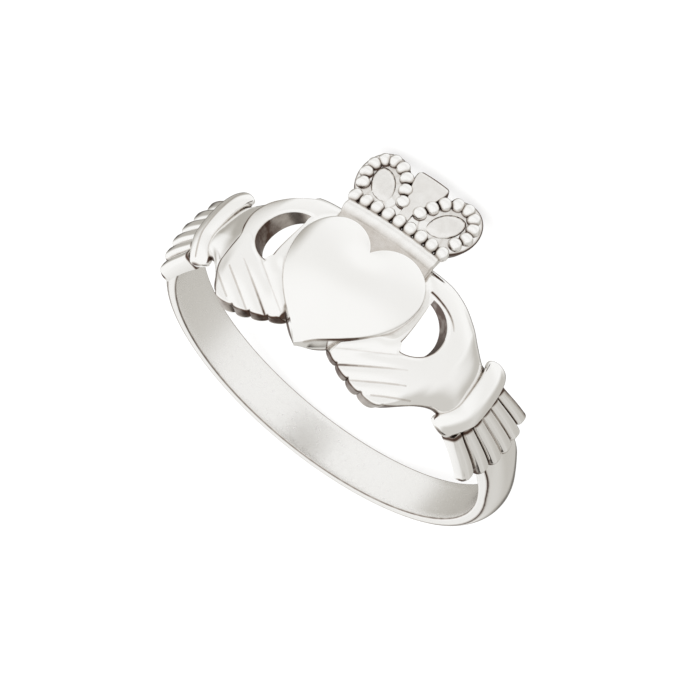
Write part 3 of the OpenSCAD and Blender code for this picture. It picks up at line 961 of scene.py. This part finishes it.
def walls(name, middles, facing):
    """How dark each face of a hand is painted, as painted shade on its walls, from its middle and how far it
    faces outward.
    """
    flat = on_right(name, middles)
    by_window = away_from(flat, window_on_head(), closed=True) < 0.12
    by_tips = (flat[:, 0] < HAND_SHOWS) & (flat[:, 1] < hand_low(flat[:, 0]) + 0.1)
    by_thumb = flat[:, 1] > curve(HAND_HIGH, flat[:, 0]) - 0.06
    # The painted shade on the window's wall varies as one looks round it
    way = np.arctan2(flat[:, 1] - 0.4, flat[:, 0] - 4.0)
    round_window = (0.62 if is_left(name) else 0.76) + 0.07 * np.cos(2 * way + 0.6) + 0.05 * np.cos(5 * way)
    dark = np.select([by_tips, by_thumb, by_window], [0.47, 0.6, round_window], 0)
    return dark * (1 - smooth(np.abs(facing), 0.25, 0.5))


def all_pieces_tree():
    """Search tree of all the pieces, for rays."""
    points, faces, at = [], [], 0
    for obj in pieces:
        points += [Vector(p) for p in values(obj.data.vertices, "co", 3)]
        faces += [[v + at for v in f.vertices] for f in obj.data.polygons]
        at += len(obj.data.vertices)
    return BVHTree.FromPolygons(points, faces)


def closed_in(mesh, tree, reach=0.00032, off=0.000004, count=14):
    """How closed in each point of a mesh is, from rays of a short reach cast round its normal."""
    k = np.arange(count) + 0.5
    flat = np.sqrt(k / count * 0.96)
    turn = k * math.pi * (3 - math.sqrt(5))
    co = values(mesh.vertices, "co", 3)
    # Each normal, and two ways square to it
    normal = values(mesh.vertex_normals, "vector", 3)
    helper = np.where(np.abs(normal[:, 2:3]) < 0.9, [[0.0, 0.0, 1.0]], [[1.0, 0.0, 0.0]])
    side = np.cross(normal, helper)
    side /= np.linalg.norm(side, axis=1, keepdims=True) + 1e-12
    other = np.cross(normal, side)
    start = (co + normal * off).tolist()
    closed = np.zeros(len(co))
    cast = tree.ray_cast
    for x, y, z in zip(flat * np.cos(turn), flat * np.sin(turn), np.sqrt(1 - flat**2)):
        way = (side * x + other * y + normal * z).tolist()
        for i, (a, b) in enumerate(zip(start, way)):
            hit = cast(a, b, reach)[3]
            if hit is not None:
                closed[i] += 1 - 0.6 * hit / reach
    return closed / count


def averaged(mesh, closed, rounds=3):
    """Values of a mesh's points, each drawn towards the mean of its neighbours."""
    a, b = values(mesh.edges, "vertices", 2, int).T
    n = len(closed)
    links = np.maximum(np.bincount(np.concatenate([a, b]), minlength=n), 1)
    for _ in range(rounds):
        near = np.bincount(a, closed[b], n) + np.bincount(b, closed[a], n)
        closed = 0.5 * closed + 0.5 * near / links
    return closed


# How much of being closed in shows as painted shade, as an even share and a factor, where it is not all of it
CLOSED_SHOWS = {
    "crown_lobes": (0, 0.5),
    "crown_plate": (0, 0.5),
    "crown_row": (0.17, 1.25),
    "crown_beads": (0.17, 1.25),
    "frill_right": (0, 0.6),
    "frill_left": (0, 0.6),
}


def paint(obj, tree, lines):
    """Keeps with each corner of a piece how dark it is painted, as painted shade, and how satin for lying
    underneath.
    """
    mesh, name = obj.data, obj.name
    places = head_places(mesh)
    even, factor = CLOSED_SHOWS.get(name, (0, 1))
    # Painted shade where each point is closed in, or lies on a drawn line
    closed = even + factor * averaged(mesh, closed_in(mesh, tree))
    points = np.maximum(closed, drawn(name, places, lines.get(name, ())))
    corners = values(mesh.loops, "vertex_index", kind=int)
    total = values(mesh.polygons, "loop_total", kind=int)
    face = np.repeat(np.arange(len(total)), total)

    def face_means(rows):
        sums = [np.bincount(face, rows[corners, k], len(total)) for k in range(3)]
        return np.stack(sums, axis=-1) / total[:, None]

    turn = places[:, :1] / ARC_R
    outward = face_means(np.sin(turn) * WORN_X - np.cos(turn) * WORN_Y)
    facing = (values(mesh.polygons, "normal", 3) * outward).sum(1)
    under = (facing < -0.6).astype(float)
    painted_shade = points[corners]
    # Painted shade on the hands' walls
    if name.startswith("hand"):
        painted_shade = np.maximum(painted_shade, walls(name, face_means(places), facing)[face])
    # Painted shade: a dark outline where the lobes and the petal drop away at their edges
    if name in ("crown_lobes", "crown_petal"):
        drop = crown_top(places[:, 1]) - places[:, 2]
        painted_shade = np.maximum(painted_shade, 0.85 * smooth(drop, 0.0, 0.04)[corners] * (1 - under[face]))
    if name == "band":
        under *= 0.35
    for layer_name, value in (("painted_shade", painted_shade), ("satin", under[face])):
        layer = mesh.attributes.new(layer_name, "FLOAT", "CORNER")
        layer.data.foreach_set("value", value.astype(np.float32))


tree = all_pieces_tree()
lines = fine_lines()
for obj in pieces:
    paint(obj, tree, lines)

# Materials


class Nodes:
    """Maker of a tree's nodes, whose inputs are numbers, colours, or the outputs linked to them."""

    def __init__(self, tree):
        self.tree = tree

    def feed(self, node, inputs):
        for key, value in inputs.items():
            if isinstance(value, bpy.types.NodeSocket):
                self.tree.links.new(value, node.inputs[key])
            else:
                node.inputs[key].default_value = value

    def add(self, kind, inputs):
        node = self.tree.nodes.new(kind)
        self.feed(node, inputs)
        return node

    def calc(self, operation, *inputs):
        node = self.add("ShaderNodeMath", dict(enumerate(inputs)))
        node.operation = operation
        return node.outputs["Value"]

    def ranged(self, value, low, high, to_low, to_high, interpolation="LINEAR"):
        """A value's place between low and high, as a value between two others."""
        inputs = {"Value": value, "From Min": low, "From Max": high, "To Min": to_low, "To Max": to_high}
        node = self.add("ShaderNodeMapRange", inputs)
        node.interpolation_type = interpolation
        return node.outputs["Result"]

    def ramp(self, value, first, middle, last):
        """Colour of a value, through three stops, each a position and a colour."""
        node = self.add("ShaderNodeValToRGB", {"Fac": value})
        stops = node.color_ramp.elements
        for stop, (position, color) in zip(stops, (first, last)):
            stop.position = position
            stop.color = color
        stops.new(middle[0]).color = middle[1]
        return node.outputs["Color"]

    def mixed(self, factor, a, b, blend="MIX"):
        node = self.tree.nodes.new("ShaderNodeMix")
        node.data_type = "RGBA"
        node.blend_type = blend
        self.feed(node, {"Factor": factor, "A": a, "B": b})
        return node.outputs["Result"]


def silver():
    """Polished silver with a faint cloudiness and bump, painted with shade that makes it dark and rough in
    recesses and along fine lines, satin underneath.
    """
    m = bpy.data.materials.new("polished_silver")
    m.use_nodes = True
    tree = Nodes(m.node_tree)
    place = tree.add("ShaderNodeTexCoord", {}).outputs["Object"]

    def noise(scale, detail):
        inputs = {"Vector": place, "Scale": scale, "Detail": detail}
        return tree.add("ShaderNodeTexNoise", inputs).outputs["Fac"]

    def painted(name):
        node = tree.add("ShaderNodeAttribute", {})
        node.attribute_name = name
        return node.outputs["Fac"]

    painted_shade = painted("painted_shade")
    cloud = noise(420, 4)
    # Painted shade, a little patchy, turns the colour from bright silver through grey to a deep brown-black
    dark = tree.calc("MULTIPLY", painted_shade, tree.ranged(noise(2600, 3), 0.3, 0.7, 0.9, 1.08))
    bright, grey, deep_shade = (0.93, 0.925, 0.915, 1), (0.62, 0.58, 0.54, 1), (0.10, 0.06, 0.045, 1)
    color = tree.ramp(dark, (0.2, bright), (0.46, grey), (0.72, deep_shade))
    rough = tree.ranged(noise(5200, 3), 0.3, 0.75, 0.07, 0.15)
    rough = tree.calc("MULTIPLY_ADD", painted_shade, 0.35, rough)
    rough = tree.calc("MULTIPLY_ADD", painted("satin"), 0.4, rough)
    bump = tree.add("ShaderNodeBump", {"Strength": 0.05, "Distance": 0.00004, "Height": cloud})
    surface = {
        "Metallic": 1.0,
        "Base Color": tree.mixed(cloud, color, (0.965, 0.96, 0.95, 1), blend="MULTIPLY"),
        "Roughness": rough,
        "Normal": bump.outputs["Normal"],
    }
    tree.feed(m.node_tree.nodes["Principled BSDF"], surface)
    return m


metal = silver()
for obj in pieces:
    obj.data.materials.clear()
    obj.data.materials.append(metal)
    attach(obj, "root")
    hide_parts("ring")

# Camera, at the photograph's angle and framing

# Width of view, distance, and how far its aim lies right of the ring's middle and above it, in metres
VIEW_W = 0.03216
DISTANCE = 0.5
AIM_RIGHT = 0.0004447
AIM_UP = 0.0010296
SENSOR_W = 36


def worn_way(x, y, z):
    return Vector(x * WORN_X + y * WORN_Y + z * WORN_Z)


right = worn_way(0.8043, -0.0364, 0.5931).normalized()
toward = worn_way(0.222, -0.9074, -0.3568)
toward = (toward - right * toward.dot(right)).normalized()
upward = toward.cross(right)
eye = Vector(CENTRE) + right * AIM_RIGHT + upward * AIM_UP + toward * DISTANCE
camera = add_object("camera", bpy.data.cameras.new("camera"))
camera.data.sensor_width = SENSOR_W
camera.data.lens = SENSOR_W * DISTANCE / VIEW_W
camera.data.clip_start = 0.01
camera.data.clip_end = 20
camera.rotation_mode = "QUATERNION"
camera.matrix_world = Matrix([[*axes, at] for *axes, at in zip(right, upward, toward, eye)] + [[0, 0, 0, 1]])
bpy.context.scene.camera = camera

# Floor: a pale lit table, seen by the camera and the shadows only

FLOOR_HALF = 2
floor_corners = [(x * FLOOR_HALF, y * FLOOR_HALF, 0) for x, y in ((-1, -1), (1, -1), (1, 1), (-1, 1))]
floor_mesh = bpy.data.meshes.new("floor")
floor_mesh.from_pydata(floor_corners, [], [(0, 1, 2, 3)])
floor = add_object("floor", floor_mesh)
paper = bpy.data.materials.new("pale_floor")
paper.use_nodes = True
paper_shader = paper.node_tree.nodes["Principled BSDF"]
paper_shader.inputs["Base Color"].default_value = (0.4, 0.4, 0.4, 1)
paper_shader.inputs["Roughness"].default_value = 0.9
paper_shader.inputs["Specular IOR Level"].default_value = 0.0
paper_shader.inputs["Emission Color"].default_value = (1, 1, 1, 1)
paper_shader.inputs["Emission Strength"].default_value = 0.72
floor_mesh.materials.append(paper)
floor.visible_glossy = False

# Light: a bright soft room, with greyer and darker stretches for the metal to show

# Each stretch is middle and half width round the room, middle and half height above the horizon,
# in degrees from the front, then how soft its edge is and how bright it is
ROOM = [
    (-132, 40, 18, 22, 32, 0.64),
    (122, 30, -42, 12, 24, 0.46),
    (-128, 34, -44, 10, 26, 0.56),
    (164, 22, -50, 13, 14, 0.2),
    (-156, 13, 27, 9, 6, 0.03),
    (10, 70, -22, 4, 24, 0.92),
]


def studio():
    """World that mirrors as the room and looks plain white to the camera."""
    world = bpy.data.worlds.new("studio")
    world.use_nodes = True
    bpy.context.scene.world = world
    tree = Nodes(world.node_tree)
    calc = tree.calc

    def beyond(offset, half):
        return calc("MAXIMUM", calc("SUBTRACT", calc("ABSOLUTE", offset), half), 0)

    way = tree.add("ShaderNodeTexCoord", {}).outputs["Generated"]
    x, y, z = tree.add("ShaderNodeSeparateXYZ", {"Vector": way}).outputs
    high = calc("MULTIPLY", calc("ARCSINE", z), 180 / math.pi)
    light = 1.0
    for round_at, half_w, up_at, half_h, soft, bright in ROOM:
        c, s = math.cos(math.radians(round_at)), math.sin(math.radians(round_at))
        ahead = calc("SUBTRACT", calc("MULTIPLY", x, s), calc("MULTIPLY", y, c))
        aside = calc("ADD", calc("MULTIPLY", x, c), calc("MULTIPLY", y, s))
        around = calc("MULTIPLY", calc("ARCTAN2", aside, ahead), 180 / math.pi)
        off_w = beyond(around, half_w)
        off_h = beyond(calc("SUBTRACT", high, up_at), half_h)
        far = calc("SQRT", calc("ADD", calc("POWER", off_w, 2), calc("POWER", off_h, 2)))
        edge = tree.ranged(far, 0, soft, bright, 1, interpolation="SMOOTHSTEP")
        light = calc("MULTIPLY", light, edge)
    black, grey, white = (0.03, 0.02, 0.016, 1), (0.53, 0.51, 0.47, 1), (1.03, 1.03, 1.025, 1)
    mirrored_room = tree.ramp(light, (0.0, black), (0.5, grey), (1.0, white))
    seen = tree.add("ShaderNodeLightPath", {}).outputs["Is Camera Ray"]
    tree.feed(world.node_tree.nodes["Background"], {"Color": tree.mixed(seen, mirrored_room, (1, 1, 1, 1))})


studio()
lamp = add_object("overhead", bpy.data.lights.new("overhead", "AREA"))
lamp.data.shape = "DISK"
lamp.data.size = 0.6
lamp.data.energy = 0.45
lamp.location = (0, 0, 0.7)
lamp.visible_glossy = False

bpy.context.scene.view_settings.view_transform = "Standard"
bpy.context.scene.view_settings.look = "None"
